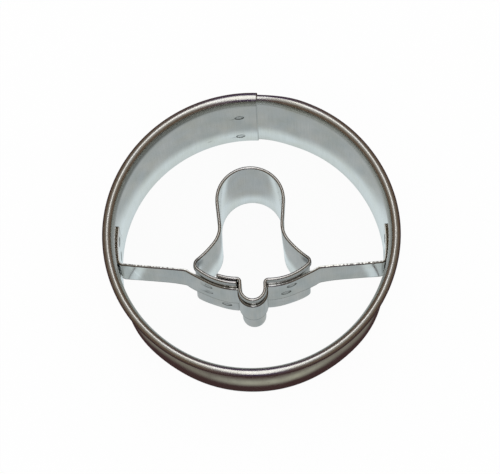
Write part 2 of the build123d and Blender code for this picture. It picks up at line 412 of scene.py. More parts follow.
class BellPlan:
    """Corners and arc centres of the bell and of the strap that is wrapped round it."""

    def __init__(self, settings):
        bell, tin = settings.bell, settings.sheet
        self.strap_step = tin.sheet + tin.layer_gap + tin.strap_sheet
        self.lap_step = 2 * tin.sheet + bell.lap_spring
        clapper_face = bell.clapper_half_width + self.strap_step
        self.corner = complex(bell.mouth_half_width, bell.mouth_y)
        self.notch = complex(bell.clapper_half_width, bell.mouth_y - bell.notch_drop)
        self.clapper = 1j * (self.notch.imag - bell.clapper_neck)
        self.panel = arc_centre(self.notch, self.corner, bell.mouth_radius)
        self.lap_corner = -self.corner.conjugate()
        self.lap_radius = bell.mouth_radius + self.lap_step
        self.lap_end = complex(-clapper_face - bell.lap_end_gap, self.notch.imag - bell.lap_spread)
        self.lap = arc_centre(self.lap_corner, self.lap_end, self.lap_radius)
        self.lap_start = front(self.lap, bell.mouth_radius, self.lap_end.real - bell.lap_overlap)
        self.lap_notch = front(self.lap, bell.mouth_radius, -bell.clapper_half_width)
        waist_x = bell.crown_radius - bell.waist_inset
        self.flare = complex(waist_x + bell.flare_step, bell.mouth_y + bell.skirt_drop)
        self.waist = complex(waist_x, self.flare.imag + bell.flare_drop)
        self.crown = 1j * (self.waist.imag + bell.waist_drop)
        self.crown_edge = tangent_point(self.crown, bell.crown_radius, self.waist, 1)
        self.ring_inner = ring_inner_radius(settings)
        self.tab_radius = self.ring_inner - tin.layer_gap
        self.clapper_face = clapper_face


def ring_inner_radius(settings):
    """The radius of the ring's inner wall: the outer radius less the width of the bead."""
    return settings.ring.diameter / 2 - settings.ring.curl_hollow - 2 * settings.sheet.sheet


def bell_line(settings):
    """The inner face of the bell's wall, from the hidden end of the lap round to the other end."""
    bell = settings.bell
    plan = BellPlan(settings)
    half_width = bell.clapper_half_width
    crown_angle = math.degrees(np.angle(plan.crown_edge - plan.crown))

    def side(corner):
        heading = (plan.waist - plan.crown_edge) / abs(plan.waist - plan.crown_edge)
        shoulder, heading = swing(plan.waist, plan.flare, heading)
        skirt, heading = swing(plan.flare, corner, heading)
        return [line(plan.crown_edge, plan.waist), shoulder, skirt]

    right_side = [run[::-1] for run in reversed(side(plan.corner))]
    left_side = [-run.conj() for run in side(-plan.lap_corner.conjugate())]
    runs = [
        bow(plan.lap, plan.lap_start, plan.lap_notch),
        line(plan.lap_notch, plan.clapper - half_width),
        arc(plan.clapper, half_width, 180, 180),
        line(plan.clapper + half_width, plan.notch),
        bow(plan.panel, plan.notch, plan.corner),
        *right_side,
        arc(plan.crown, bell.crown_radius, crown_angle, 180 - 2 * crown_angle),
        *left_side,
        bow(plan.lap, plan.lap_corner, plan.lap_end),
    ]
    notch_bend = settings.strap.notch_bend + plan.strap_step
    bends = [notch_bend, 0, 0, notch_bend, bell.mouth_bend, 0, 0, 0, 0, 0, 0, bell.lap_mouth_bend]
    return StripLine(runs, bends, 0.12 * MM)


def strap_line(settings):
    """The front face of the strap, from the end of the left tab to the end of the right tab."""
    strap = settings.strap
    plan = BellPlan(settings)
    left_arm, right_arm = math.degrees(strap.left_arm), math.degrees(strap.right_arm)
    tab_turn = math.degrees(strap.tab_length / plan.tab_radius)
    left_corner = polar(plan.tab_radius, left_arm)
    right_corner = polar(plan.tab_radius, right_arm)
    left_knee = plan.lap_corner - complex(strap.left_knee_reach, strap.left_knee_drop)
    right_knee = plan.corner + complex(strap.right_knee_reach, -strap.right_knee_drop)
    left_radius = plan.lap_radius + plan.strap_step
    right_radius = settings.bell.mouth_radius + plan.strap_step
    left_leaving = tangent_point(plan.lap, left_radius, left_knee, 1)
    right_leaving = tangent_point(plan.panel, right_radius, right_knee, -1)
    left_notch = front(plan.lap, left_radius, -plan.clapper_face)
    right_notch = front(plan.panel, right_radius, plan.clapper_face)
    runs = [
        arc(0, plan.tab_radius, left_arm - tab_turn, tab_turn),
        line(left_corner, left_knee),
        line(left_knee, left_leaving),
        bow(plan.lap, left_leaving, left_notch),
        line(left_notch, plan.clapper - plan.clapper_face),
        arc(plan.clapper, plan.clapper_face, 180, 180),
        line(plan.clapper + plan.clapper_face, right_notch),
        bow(plan.panel, right_notch, right_leaving),
        line(right_leaving, right_knee),
        line(right_knee, right_corner),
        arc(0, plan.tab_radius, right_arm, tab_turn),
    ]
    left_bends = [strap.tab_bend, strap.knee_bend, 0, strap.notch_bend, 0]
    return StripLine(runs, left_bends + left_bends[::-1], 0.1 * MM)


# The bell leans: its cutting edge is a little wider than its hem. Each entry is a place in plan,
# how far its pull reaches, and how far it moves the cutting edge.
BELL_LEAN = [
    (complex(-5.2, 1.8) * MM, 2.6 * MM, complex(-0.30, 0.0) * MM),
    (complex(5.2, 1.2) * MM, 2.8 * MM, complex(0.62, 0.0) * MM),
    (complex(-6.2, -1.8) * MM, 1.8 * MM, complex(-0.25, 0.05) * MM),
    (complex(-9.3, -5.2) * MM, 2.0 * MM, complex(-0.62, -0.42) * MM),
    (complex(9.3, -5.2) * MM, 2.0 * MM, complex(0.42, -0.5) * MM),
    (complex(0.0, -9.6) * MM, 4.0 * MM, complex(0.0, -0.26) * MM),
]


def leaned(points, height):
    """Points of the bell or strap moved by the bell's lean.

    The move is the sum of bell-shaped pulls about a few places, each the reach of a normal curve,
    and it falls in step with the height, from full at the cutting edge to none at the hem.
    """
    plan = in_plan(points)
    fall = np.clip(1 - points[..., 2] / height, 0, 1)
    move = sum(
        shift * np.exp(-(np.abs(plan - place) ** 2) / (2 * reach**2))
        for place, reach, shift in BELL_LEAN
    )
    return raised(plan + move * fall, points[..., 2])


# Places round the ring at which its foot is bent outwards and at which its bead is pushed out, and
# how far each reaches, in degrees
FOOT_BENDS = (210, 330)
FOOT_BEND_REACH = 18
OVAL_PLACE = 290
OVAL_REACH = 75
# How far from the axis the strips begin to follow the ring's wall, and over what length they do
NEAR_RING = 19 * MM
RING_FADE = 2.5 * MM


def turned_from(degrees, place):
    """The angle from a place round the ring, the short way."""
    return (degrees - place + 180) % 360 - 180


def thicker(degrees, settings):
    """How much the bead's radius is above its mean: most at the back, least in front."""
    return settings.ring.uneven * np.sin(np.radians(degrees))


def neck_reach(settings):
    """From the bead's centre to the centre of the neck's bend, which share one tangent."""
    ring = settings.ring
    return ring.neck_radius - ring.curl_hollow / 2 - settings.sheet.sheet


def wall_inset(settings):
    """How far the neck sets the wall in from the inner side of the bead."""
    return neck_reach(settings) * (1 - math.cos(settings.ring.neck))


def foot_shift(height, degrees, settings):
    """How far the ring runs outwards from the upright form under its own bead.

    The flare grows with the power 1.5 of the depth below the neck. The foot's bends are
    bell-shaped about their places and grow in step with the depth, as does the share that the
    foot doesn't take of the uneven bead. The bead's own push fades with the depth.
    """
    ring = settings.ring
    bead = ring.curl_hollow / 2 + settings.sheet.sheet
    neck_base = ring.height - bead - neck_reach(settings) * math.sin(ring.neck)
    depth = np.clip(1 - height / neck_base, 0, 1)
    bends = sum(ridge(turned_from(degrees, place), 0, FOOT_BEND_REACH) for place in FOOT_BENDS)
    pushed = ridge(turned_from(degrees, OVAL_PLACE), 0, OVAL_REACH)
    spread = ring.foot_spread * bends + 2 * thicker(degrees, settings)
    foot = ring.flare * depth**1.5 + spread * depth
    return foot + ring.oval * pushed * (1 - depth) + ring_wobble(degrees, settings)


def wall_shift(height, degrees, settings):
    """How far the ring's wall stands from the CAD's: its shift less what the bead takes."""
    taken = wall_inset(settings) + 2 * thicker(degrees, settings)
    return foot_shift(height, degrees, settings) - taken


def settled(points, settings):
    """Points of the bell, strap or welds as they lie in the finished cutter.

    They follow the bell's lean, and beside the ring they follow its wall: the wall's shift fades
    in smoothly with the distance from the axis.
    """
    points = leaned(points, settings.bell.height)
    plan = in_plan(points)
    radius = np.maximum(np.abs(plan), MM)
    near = np.clip((radius - NEAR_RING) / RING_FADE, 0, 1)
    shift = wall_shift(points[..., 2], np.degrees(np.angle(plan)), settings)
    return raised(plan * (1 + smooth(near) * shift / radius), points[..., 2])


# Marks of making and use on the strips, and among them painted shade and a painted highlight: the
# place in plan, the height, the reach along the strip and upwards, the tilt in degrees, and how
# much darker the tin is there, or lighter below nought.
RING_MARKS_AND_SHADE = [
    (polar(22.4, 107.8), 3.3, 0.3, 0.25, 0, 0.55),
    # Painted shade: a dark band just under the bead, round the back-left
    (polar(22.4, 140), 17.3, 16.0, 0.65, 0, 0.5),
    (polar(22.4, 96.9), 11.5, 0.5, 0.16, -20, 0.45),
    (polar(22.4, 96.9), 2.5, 0.5, 0.16, -20, 0.45),
]
BELL_MARKS_AND_SHADE = [
    # Painted shade in the two mouth corners, under the hem
    (complex(-8.95, -4.6), 15.4, 1.0, 2.0, 0, 0.97),
    (complex(8.85, -4.6), 15.8, 1.0, 1.5, 0, 0.97),
    (complex(5.0, -7.3), 2.6, 1.1, 0.07, -35, 0.35),
    (complex(5.6, -7.1), 3.4, 0.7, 0.06, -35, 0.25),
]
STRAP_MARKS_SHADE_AND_LIGHT = [
    # Painted shade on the left arm where it bends into its tab at the ring
    (complex(-21.0, -4.15), 10.0, 1.25, 9.0, 0, 0.24),
    # Painted highlight along a crease in the left arm
    (complex(-19.2, -4.35), 10.0, 0.22, 5.5, 14, -0.16),
    # Painted shade on the right arm where it bends into its tab at the ring
    (complex(21.3, -5.0), 10.0, 0.95, 9.0, 0, 0.22),
    # Painted shadow of the hem on the strap's top edge round the bell, and painted shade that dims
    # a glint at the clapper
    (complex(0.0, -11.74), 14.35, 11.5, 0.3, 0, 0.5),
    (complex(0.0, -11.74), 14.35, 2.4, 0.3, 0, 0.3),
    (complex(-7.45, -6.7), 8.1, 0.75, 0.28, 0, 0.45),
    (complex(-7.45, -6.7), 11.3, 0.75, 0.28, 0, 0.38),
    (complex(-8.0, -6.4), 12.2, 0.2, 0.6, 0, 0.3),
]
# How much darker the hem's outer layer is drawn: painted shade
HEM_SHADE = 0.36


def shaded(along, height, marks, find):
    """Darkness of marks and painted shade, negative for a painted highlight: flat-topped spots,
    turned by their tilt on the strip's map.
    """
    total = np.zeros(np.broadcast_shapes(along.shape, height.shape))
    for place, level, reach, rise, tilt, dark in marks:
        across = (along - find(place * MM)) + 1j * (height - level * MM)
        across = across * np.exp(-1j * math.radians(tilt))
        away = (across.real / (reach * MM)) ** 2 + (across.imag / (rise * MM)) ** 2
        total = total + dark * np.exp(-(away**1.5))
    return total


# Spot welds

class Weld:
    """One spot weld: where it goes through a curved wall, and how deep the stack of sheets is."""

    def __init__(self, centre, radius, seat, stack, degrees, height):
        self.centre, self.radius, self.seat, self.stack = centre, radius, seat, stack
        self.degrees, self.height = degrees, height
        self.outward = np.exp(1j * math.radians(degrees))

    def spot(self, depth=0.0):
        """The point in plan on the weld's axis at a depth from the stack's inner face."""
        return self.centre + (self.radius + depth) * self.outward

    def around(self, points):
        """For each point: its distance from the weld's axis, and from the seat between sheets."""
        turned = (in_plan(points) - self.spot(self.seat)) / self.outward
        return np.hypot(turned.imag, points[..., 2] - self.height), turned.real


def weld_table(settings):
    """All spot welds by the name of the CAD node that holds them."""
    tin, bell, strap = settings.sheet, settings.bell, settings.strap
    plan = BellPlan(settings)
    seat = tin.sheet + tin.layer_gap / 2
    lap_face = plan.lap_radius + tin.sheet
    left_face = plan.lap_radius + plan.strap_step
    right_face = bell.mouth_radius + plan.strap_step
    tab_turn = strap.tab_length / plan.tab_radius
    low, high = strap.weld_low, strap.weld_high
    tab_low, tab_high = strap.tab_weld_low / plan.tab_radius, strap.tab_weld_high / plan.tab_radius

    def facing(centre, radius, x):
        return math.degrees(np.angle(front(centre, radius, x) - centre))

    def group(centre, radius, seat, stack, places):
        return [Weld(centre, radius, seat, stack, *place) for place in places]

    left = facing(plan.lap, left_face, plan.lap_corner.real + strap.left_weld)
    right_low = facing(plan.panel, right_face, plan.corner.real - strap.right_weld_low)
    right_high = facing(plan.panel, right_face, plan.corner.real - strap.right_weld_high)
    bell_lap = facing(plan.lap, lap_face, plan.lap_end.real - bell.weld_setback)
    ring_lap = math.degrees(settings.ring.weld)
    tab_left = strap.left_arm - tab_turn
    tab_right = strap.right_arm + tab_turn
    tab_inner = plan.tab_radius - tin.strap_sheet
    tab_seat = tin.strap_sheet + tin.layer_gap / 2
    return {
        "ring_lap_welds": group(
            0,
            plan.ring_inner,
            seat,
            2 * tin.sheet + tin.layer_gap,
            [(ring_lap, settings.ring.weld_low), (ring_lap, settings.ring.weld_high)],
        ),
        "bell_lap_weld": group(
            plan.lap,
            bell.mouth_radius,
            (plan.lap_step + tin.sheet) / 2,
            plan.lap_step + tin.sheet,
            [(bell_lap, bell.weld_height)],
        ),
        "left_panel_welds": group(
            plan.lap, plan.lap_radius, seat, plan.strap_step, [(left, low), (left, high)]
        ),
        "right_panel_welds": group(
            plan.panel,
            bell.mouth_radius,
            seat,
            plan.strap_step,
            [(right_low, low), (right_high, high)],
        ),
        "left_tab_welds": group(
            0,
            tab_inner,
            tab_seat,
            plan.strap_step,
            [(math.degrees(tab_left + tab_low), low), (math.degrees(tab_left + tab_high), high)],
        ),
        "right_tab_welds": group(
            0,
            tab_inner,
            tab_seat,
            plan.strap_step,
            [(math.degrees(tab_right - tab_low), low), (math.degrees(tab_right - tab_high), high)],
        ),
    }


def electrode_mark(reach, settings):
    """Depth of the electrode's mark at a distance from its axis: a flat dish inside a low lip."""
    radius = settings.sheet.weld_diameter / 2
    dish_radius = 0.86 * radius
    groove_place, groove_width, groove_depth = 0.7 * radius, 0.15 * radius, 0.5
    lip_place, lip_width, lip_height = 1.1 * radius, 0.14 * radius, 0.3
    dish = 1 / (1 + (reach / dish_radius) ** 8)
    groove = groove_depth * ridge(reach, groove_place, groove_width)
    lip = lip_height * ridge(reach, lip_place, lip_width)
    return settings.sheet.weld_depth * (dish + groove - lip)


def dimpled(points, welds, settings):
    """Points of a strip pressed towards the seat of each weld under them, and their heat tint.

    The tint is the greater of a bell-shaped outline round the weld and a flat-topped halo on it.
    """
    plan = in_plan(points)
    tint = np.zeros(plan.shape)
    radius = settings.sheet.weld_diameter / 2
    deepest, widest = 1.2 * MM, 3 * radius
    outline_place, outline_width = 1.02 * radius, 0.2 * radius
    halo_width, halo_tint = 1.3 * radius, 0.3
    for weld in welds:
        reach, depth = weld.around(points)
        over = (np.abs(depth) < deepest) & (reach < widest)
        press = np.where(over, electrode_mark(reach, settings), 0) * -np.sign(depth)
        plan = plan + press * weld.outward
        halo = halo_tint * np.exp(-((reach / halo_width) ** 4))
        stain = np.maximum(ridge(reach, outline_place, outline_width), halo)
        tint = np.maximum(tint, np.where(over, stain, 0))
    return raised(plan, points[..., 2]), tint


# Meshes

def linked(name, data):
    """A new object in the scene."""
    item = bpy.data.objects.new(name, data)
    bpy.context.scene.collection.objects.link(item)
    return item


def store(mesh, label, values):
    """Keeps one value for each point of a mesh."""
    layer = mesh.attributes.new(label, "FLOAT", "POINT")
    layer.data.foreach_set("value", values.reshape(-1).astype(np.float32))


def round_faces(index):
    """Four-cornered faces of a grid of point numbers whose last column meets its first."""
    closed = np.concatenate([index, index[:, :1]], axis=1)
    corners = [closed[:-1, :-1], closed[1:, :-1], closed[1:, 1:], closed[:-1, 1:]]
    return np.stack(corners, axis=-1).reshape(-1, 4)


def piece_from_grid(name, grid, quads, attributes, strip_uv):
    """A smooth mesh object from a grid of points, its faces, and values for each point."""
    mesh = bpy.data.meshes.new(name)
    mesh.from_pydata(grid.reshape(-1, 3).tolist(), [], quads.tolist())
    mesh.polygons.foreach_set("use_smooth", np.ones(len(quads), dtype=bool))
    for label, values in attributes.items():
        store(mesh, label, values)
    corners = np.zeros(len(mesh.loops), dtype=np.int32)
    mesh.loops.foreach_get("vertex_index", corners)
    layer = mesh.uv_layers.new(name="strip")
    layer.data.foreach_set("uv", strip_uv.reshape(-1, 2)[corners].astype(np.float32).ravel())
    mesh.update()
    return linked(name, mesh)


def sheet_piece(name, middle, normal, half, attributes, along, girth):
    """A bent sheet as one closed skin.

    The front is the middle surface plus half the thickness along its normal, and the back is the
    middle surface minus it. Both are grids, first index along the strip and second across it. The
    front's last row runs on into the back's last row, and both ends are closed by a row of faces
    from front to back. The strip's map is the distance along it and the way across it.
    """
    def doubled(front_side, back_side):
        return np.concatenate([front_side, back_side[:, ::-1]], axis=1)

    offset = normal * half[..., None]
    loop = doubled(middle + offset, middle - offset)
    values = {label: doubled(value, value) for label, value in attributes.items()}
    uv = np.stack([np.broadcast_to(along[:, None], girth.shape), girth], axis=-1)
    count, around = loop.shape[:2]
    index = np.arange(count * around).reshape(count, around)
    row = np.arange(around // 2 - 1)
    first = np.stack([row, row + 1, around - 2 - row, around - 1 - row], axis=-1)
    last = first[:, ::-1] + index[-1, 0]
    quads = np.concatenate([round_faces(index), first, last])
    return piece_from_grid(name, loop, quads, values, doubled(uv, uv))


def swept(points, outward, across, height):
    """Middle surface of a strip and its normals.

    A section's points are given by their distance across the strip's line and their height, for
    every station. The normal is square to the section's own direction in its upright plane.
    """
    middle = raised(points[:, None] + outward[:, None] * across, height)
    rise, run = np.gradient(height, axis=1), np.gradient(across, axis=1)
    size = np.hypot(rise, run)
    return middle, raised(outward[:, None] * rise / size, -run / size)


def seated(piece, material, slot, *nodes):
    """Dresses a finished piece and puts it on the cutter's one body in place of its CAD nodes."""
    piece.data.materials.append(material)
    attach(piece, ROOT)
    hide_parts(*nodes)
    return piece


def ring_wobble(degrees, settings):
    """How far the ring strays from its circle: a few slow waves of seeded height and phase."""
    chance = np.random.default_rng(settings.finish.seed)
    waves = np.arange(2, 12)
    heights = chance.normal(size=len(waves)) / waves**0.8
    phases = chance.uniform(0, 2 * math.pi, size=len(waves))
    total = sum(h * np.cos(w * np.radians(degrees) + p) for h, w, p in zip(heights, waves, phases))
    return settings.ring.wobble * total


def make_ring(settings):
    """The outer ring.

    In plan it is a circle that runs on over its own start. Its section is a wall, then the neck,
    a wide arc that bends outwards, then the bead, a tight arc about the bead's centre. Both arcs
    narrow by one layer where the outer layer slips inside the inner layer's bead, so all layers
    share their centres.
    """
    ring, tin = settings.ring, settings.sheet
    start, outer_end = math.degrees(ring.inner_end), math.degrees(ring.outer_end)
    wall_radius = ring_inner_radius(settings)
    welds = weld_table(settings)
    ring_welds = welds["ring_lap_welds"] + welds["left_tab_welds"] + welds["right_tab_welds"]
    per_metre = math.degrees(1 / wall_radius)
    places = [w.degrees + turn for w in ring_welds for turn in (0, 360)]
    step, weld_reach, weld_step = (size * MM * per_metre for size in (0.62, 1.15, 0.15))
    degrees = spaced(start, outer_end + 360, step, places, weld_reach, weld_step)
    edge = tin.sheet / 2
    degrees = edge_stations(degrees, edge * per_metre)

    bead = ring.curl_hollow / 2 + tin.sheet
    bead_line = ring.diameter / 2 - bead
    opened = outer_end + math.degrees(ring.opening)
    closing = start + 360 - math.degrees(ring.closing)

    def eased(values, marks):
        stage = np.interp(degrees, marks, np.arange(len(marks)))
        whole = np.floor(stage)
        return np.interp(whole + smooth(stage - whole), np.arange(len(marks)), values)

    extra = thicker(degrees, settings)
    curl_radius = extra + eased(
        [bead, bead, bead - tin.sheet - tin.layer_gap], [start, closing, start + 360]
    )
    turn = eased(
        [ring.lap_curl, ring.lap_curl, ring.curl, ring.curl, ring.lap_curl],
        [start, outer_end, opened, closing, start + 360],
    )
    middle_radius = curl_radius - tin.sheet / 2
    centre_height = ring.height - bead
    heights = sorted({w.height for w in ring_welds})
    reach = neck_reach(settings)
    neck_base = centre_height - reach * math.sin(ring.neck)
    bead_start = neck_base + ring.neck_radius * ring.neck
    bead_end = bead_start + bead * (ring.curl - ring.neck)
    rows = edge_stations(
        np.concatenate(
            [
                spaced(0, neck_base, 0.62 * MM, heights, *WELD_ROWS),
                np.linspace(neck_base, bead_start, 9)[1:],
                np.linspace(bead_start, bead_end, 27)[1:],
            ]
        ),
        edge,
    )[None, :]
    in_bead = rows > bead_start
    neck_turn = ring.neck * np.clip((rows - neck_base) / (bead_start - neck_base), 0, 1)
    curl_share = np.clip((rows - bead_start) / (bead_end - bead_start), 0, 1)
    curl = neck_turn + (turn[:, None] - ring.neck) * curl_share
    extra = extra[:, None]
    arm = middle_radius[:, None] + np.where(in_bead, 0, reach)
    hub = bead_line - extra + np.where(in_bead, 0, reach * math.cos(ring.neck))
    hub_height = centre_height - extra - np.where(in_bead, 0, reach * math.sin(ring.neck))
    across = hub - arm * np.cos(curl)
    below_neck = np.minimum(rows / neck_base - 1, 0)
    height = hub_height * (1 + below_neck) + arm * np.sin(curl)
    outward = polar(1, degrees)
    hubs = np.zeros(len(degrees))
    upright, _ = swept(hubs, outward, across + wall_inset(settings) + 2 * extra, height)
    pressed, tint = dimpled(upright, ring_welds, settings)
    shift = foot_shift(height, degrees[:, None], settings)
    middle, normal = swept(hubs, outward, across + shift, height)
    middle = middle + pressed - upright
    along = np.radians(degrees - start) * wall_radius
    girth = np.cumsum(np.hypot(np.gradient(height, axis=1), np.gradient(across, axis=1)), axis=1)
    half = tin.sheet / 2 * edge_rounding(along, edge)[:, None] * edge_rounding(rows[0], edge)

    def find(place):
        return np.radians((math.degrees(np.angle(place)) - start) % 360) * wall_radius

    values = {
        "heat": tint,
        "edge": edge_wear_and_shade(along, girth),
        # Marks, and painted shade in a band under the bead
        "mark": shaded(along[:, None], height, RING_MARKS_AND_SHADE, find),
    }
    piece = sheet_piece("outer_ring", middle, normal, half, values, along, girth)
    material = tinplate("ring tinplate", settings.finish.ring_colour, settings)
    return seated(piece, material, "ring_tinplate", "ring_band")


def edge_wear_and_shade(along, girth):
    """Darkness by distance from the sheet's edges, for worn edges and for painted shade where the
    cutting edges meet the floor: 1 at an edge, and nothing a short way in.
    """
    reach = 0.26 * MM
    from_end = np.minimum(along - along[0], along[-1] - along)[:, None]
    from_side = np.minimum(girth - girth[:, :1], girth[:, -1:] - girth)
    return np.clip(1 - np.minimum(from_end, from_side) / reach, 0, 1)


def make_bell(settings):
    """The bell.

    Its section is an upright wall, a tight half circle over the top, and the hem's outer layer
    hanging down beside the wall. The whole leans out a little towards the cutting edge.
    """
    bell, tin = settings.bell, settings.sheet
    path = bell_line(settings)
    welds = weld_table(settings)
    bell_welds = welds["bell_lap_weld"] + welds["left_panel_welds"] + welds["right_panel_welds"]
    edge = tin.sheet / 2
    along = edge_stations(spaced(0, path.length, 0.16 * MM), edge)
    points, outward = path.at(along)
    fold = tin.sheet / 2
    top = bell.height - tin.sheet
    heights = [w.height for w in bell_welds]
    wall = spaced(0, top, 0.7 * MM, heights, *WELD_ROWS)
    turn = np.linspace(0, math.pi, 11)[1:]
    drop = spaced(0, bell.hem - tin.sheet, 0.16 * MM)[1:]
    hem_gap = 0.05 * MM
    outer_layer = tin.sheet + hem_gap * np.minimum(drop / drop[-1], 1)
    across = np.concatenate([np.zeros(len(wall)), fold * (1 - np.cos(turn)), outer_layer])
    height = np.concatenate([wall, top + fold * np.sin(turn), top - drop])
    rows = np.concatenate([[0], np.cumsum(np.hypot(np.diff(across), np.diff(height)))])
    fine = edge_stations(rows, edge)
    across, height = np.interp(fine, rows, across), np.interp(fine, rows, height)
    shape = (len(along), len(fine))
    middle, normal = swept(
        points,
        outward,
        np.broadcast_to(across + tin.sheet / 2, shape),
        np.broadcast_to(height, shape),
    )
    middle, tint = dimpled(middle, bell_welds, settings)
    middle = settled(middle, settings)
    half = tin.sheet / 2 * edge_rounding(along, edge)[:, None] * edge_rounding(fine, edge)[None, :]
    girth = np.broadcast_to(fine, shape)
    values = {
        "heat": tint,
        "edge": edge_wear_and_shade(along, girth),
        # Marks, painted shade in the mouth's corners and painted shade on the hem's outer layer
        "mark": np.maximum(
            shaded(along[:, None], height[None, :], BELL_MARKS_AND_SHADE, path.nearest),
            HEM_SHADE * (fine > top + fold * math.pi),
        ),
    }
    piece = sheet_piece("bell_cutter", middle, normal, half, values, along, girth)
    material = tinplate("bell tinplate", settings.finish.bell_colour, settings)
    return seated(piece, material, "bell_tinplate", "bell_band")


def make_strap(settings):
    """The bridge strap.

    Its section is upright and straight. Its upper and lower edges are sheared: their heights and
    their stand-off follow a short-waved burr, made by smoothing seeded random numbers.
    """
    strap, tin = settings.strap, settings.sheet
    path = strap_line(settings)
    welds = weld_table(settings)
    names = ("left_panel_welds", "right_panel_welds", "left_tab_welds", "right_tab_welds")
    strap_welds = [weld for name in names for weld in welds[name]]
    edge, burr_depth, swell_depth, base_swell = 0.08 * MM, 0.12 * MM, 0.032 * MM, 0.35
    along = edge_stations(spaced(0, path.length, 0.13 * MM), edge)
    points, outward = path.at(along)
    heights = [w.height for w in strap_welds]
    rows = spaced(strap.base, strap.base + strap.height, 0.5 * MM, heights, *WELD_ROWS)
    rows = edge_stations(rows, edge)
    chance = np.random.default_rng(settings.finish.seed + 1)
    burrs = chance.normal(size=(3, len(along)))
    burrs = np.stack([np.convolve(wave, [0.25, 0.5, 0.25], mode="same") for wave in burrs])
    below_top, above_base = rows[-1] - rows, rows - rows[0]
    to_top, to_base = np.exp(-below_top / burr_depth), np.exp(-above_base / burr_depth)
    shape = (len(along), len(rows))
    height = rows + strap.burr * (np.outer(burrs[0], to_top) - np.outer(burrs[1], to_base))
    swell = np.exp(-below_top / swell_depth) + base_swell * np.exp(-above_base / swell_depth)
    swell = strap.crest * swell
    depth = np.minimum(above_base, below_top)
    cut = np.interp(depth, EDGE_DEPTHS[:4] * edge, [0.86, 0.98, 1.0, 1.0])
    across = tin.strap_sheet / 2 * (swell - 1) + 0.5 * strap.burr * np.outer(burrs[2], to_top)
    upright = np.broadcast_to(rows, shape)
    middle, _ = swept(points, outward, across, upright)
    _, normal = swept(points, outward, np.zeros(shape), upright)
    middle[..., 2] = height
    middle, tint = dimpled(middle, strap_welds, settings)
    middle = settled(middle, settings)
    half = tin.strap_sheet / 2 * edge_rounding(along, edge)[:, None] * cut * (1 + swell)
    girth = np.broadcast_to(above_base, shape)
    values = {
        "heat": tint,
        "edge": edge_wear_and_shade(along, girth) * (rows < strap.base + strap.height / 2),
        # Marks, painted shade and a painted highlight
        "mark": shaded(along[:, None], rows[None, :], STRAP_MARKS_SHADE_AND_LIGHT, path.nearest),
    }
    piece = sheet_piece("bridge", middle, normal, half, values, along, girth)
    material = tinplate("strap tinplate", settings.finish.strap_colour, settings)
    return seated(piece, material, "strap_tinplate", "bridge_strap")


def make_welds(settings):
    """The spot welds, one piece for each group.

    A weld is a closed button: its two faces are the electrode's marks, given by the distance from
    the axis and the angle about it, and its side joins them inside the sheets.
    """
    radius = settings.sheet.weld_diameter / 2
    skin, dome, sunk = 0.012 * MM, 1.6, 0.6
    spokes = np.radians(np.linspace(0, 360, 40, endpoint=False))
    rings = radius * np.sqrt(np.linspace(0.0006, 1, 16))
    reach = np.concatenate([rings, rings[::-1]])
    outer = np.arange(len(reach)) < len(rings)
    level = electrode_mark(reach, settings)
    level = level - skin * (dome * np.sqrt(1 - (reach / radius) ** 2) - sunk)
    sideways, rise = reach[:, None] * np.cos(spokes), reach[:, None] * np.sin(spokes)
    index = np.arange(rise.size).reshape(rise.shape)
    material = weld_finish(settings)
    for name, welds in weld_table(settings).items():
        grids, quads, uvs = [], [], []
        for weld in welds:
            bowed = weld.radius + np.where(outer, weld.stack - level, level)[:, None]
            plan = weld.centre + bowed * weld.outward * np.exp(1j * sideways / bowed)
            quads.append(round_faces(index + index.size * len(grids)))
            grids.append(settled(raised(plan, rise + weld.height), settings))
            uvs.append(np.stack([sideways, rise + weld.height], axis=-1))
        piece = piece_from_grid(
            name.replace("weld", "spot"),
            np.concatenate(grids),
            np.concatenate(quads),
            {"mark": np.tile(reach[:, None] / radius, (len(welds), len(spokes)))},
            np.concatenate(uvs),
        )
        seated(piece, material, "spot_weld", name)


# Materials

class Wiring:
    """Adds nodes to a tree, sets their values and links their inputs."""

    def __init__(self, tree):
        self.tree = tree
        self.column = 0

    def add(self, kind, inputs=(), **settings):
        """A new node. An input is a value or a node's output, by the socket's name or place."""
        node = self.tree.nodes.new(kind)
        node.location = (self.column * 180, 0)
        self.column += 1
        for label, value in settings.items():
            setattr(node, label, value)
        for socket, value in dict(inputs).items():
            if isinstance(value, bpy.types.NodeSocket):
                self.tree.links.new(value, node.inputs[socket])
            else:
                node.inputs[socket].default_value = value
        return node

    def math(self, operation, first, second=0.0):
        """One step of arithmetic."""
        return self.add("ShaderNodeMath", {0: first, 1: second}, operation=operation).outputs[0]

    def remap(self, value, low, high, to_low=0.0, to_high=1.0):
        """A value carried from one range to another, and held inside it."""
        inputs = {"Value": value, 1: low, 2: high, 3: to_low, 4: to_high}
        return self.add("ShaderNodeMapRange", inputs).outputs[0]

    def mix(self, factor, first, second, blend="MIX"):
        """A mix of two colours."""
        inputs = {0: factor, 6: first, 7: second}
        return self.add("ShaderNodeMix", inputs, data_type="RGBA", blend_type=blend).outputs[2]

    def blend(self, share, first, second):
        """A mix of two shaders."""
        return self.add("ShaderNodeMixShader", {0: share, 1: first, 2: second}).outputs[0]

    def noise(self, place, scale=1.0, detail=2.0):
        """Cloudy noise from 0 to 1."""
        inputs = {"Vector": place, "Scale": scale, "Detail": detail}
        return self.add("ShaderNodeTexNoise", inputs).outputs[0]

    def stored(self, label):
        """A value that the points of the mesh hold."""
        return self.add("ShaderNodeAttribute", attribute_name=label).outputs["Fac"]


def opaque(rgb):
    """A colour with full opacity."""
    return (*rgb, 1.0)


def blank(owner):
    """The wiring of a new material's or world's emptied node tree."""
    owner.use_nodes = True
    owner.node_tree.nodes.clear()
    return Wiring(owner.node_tree)


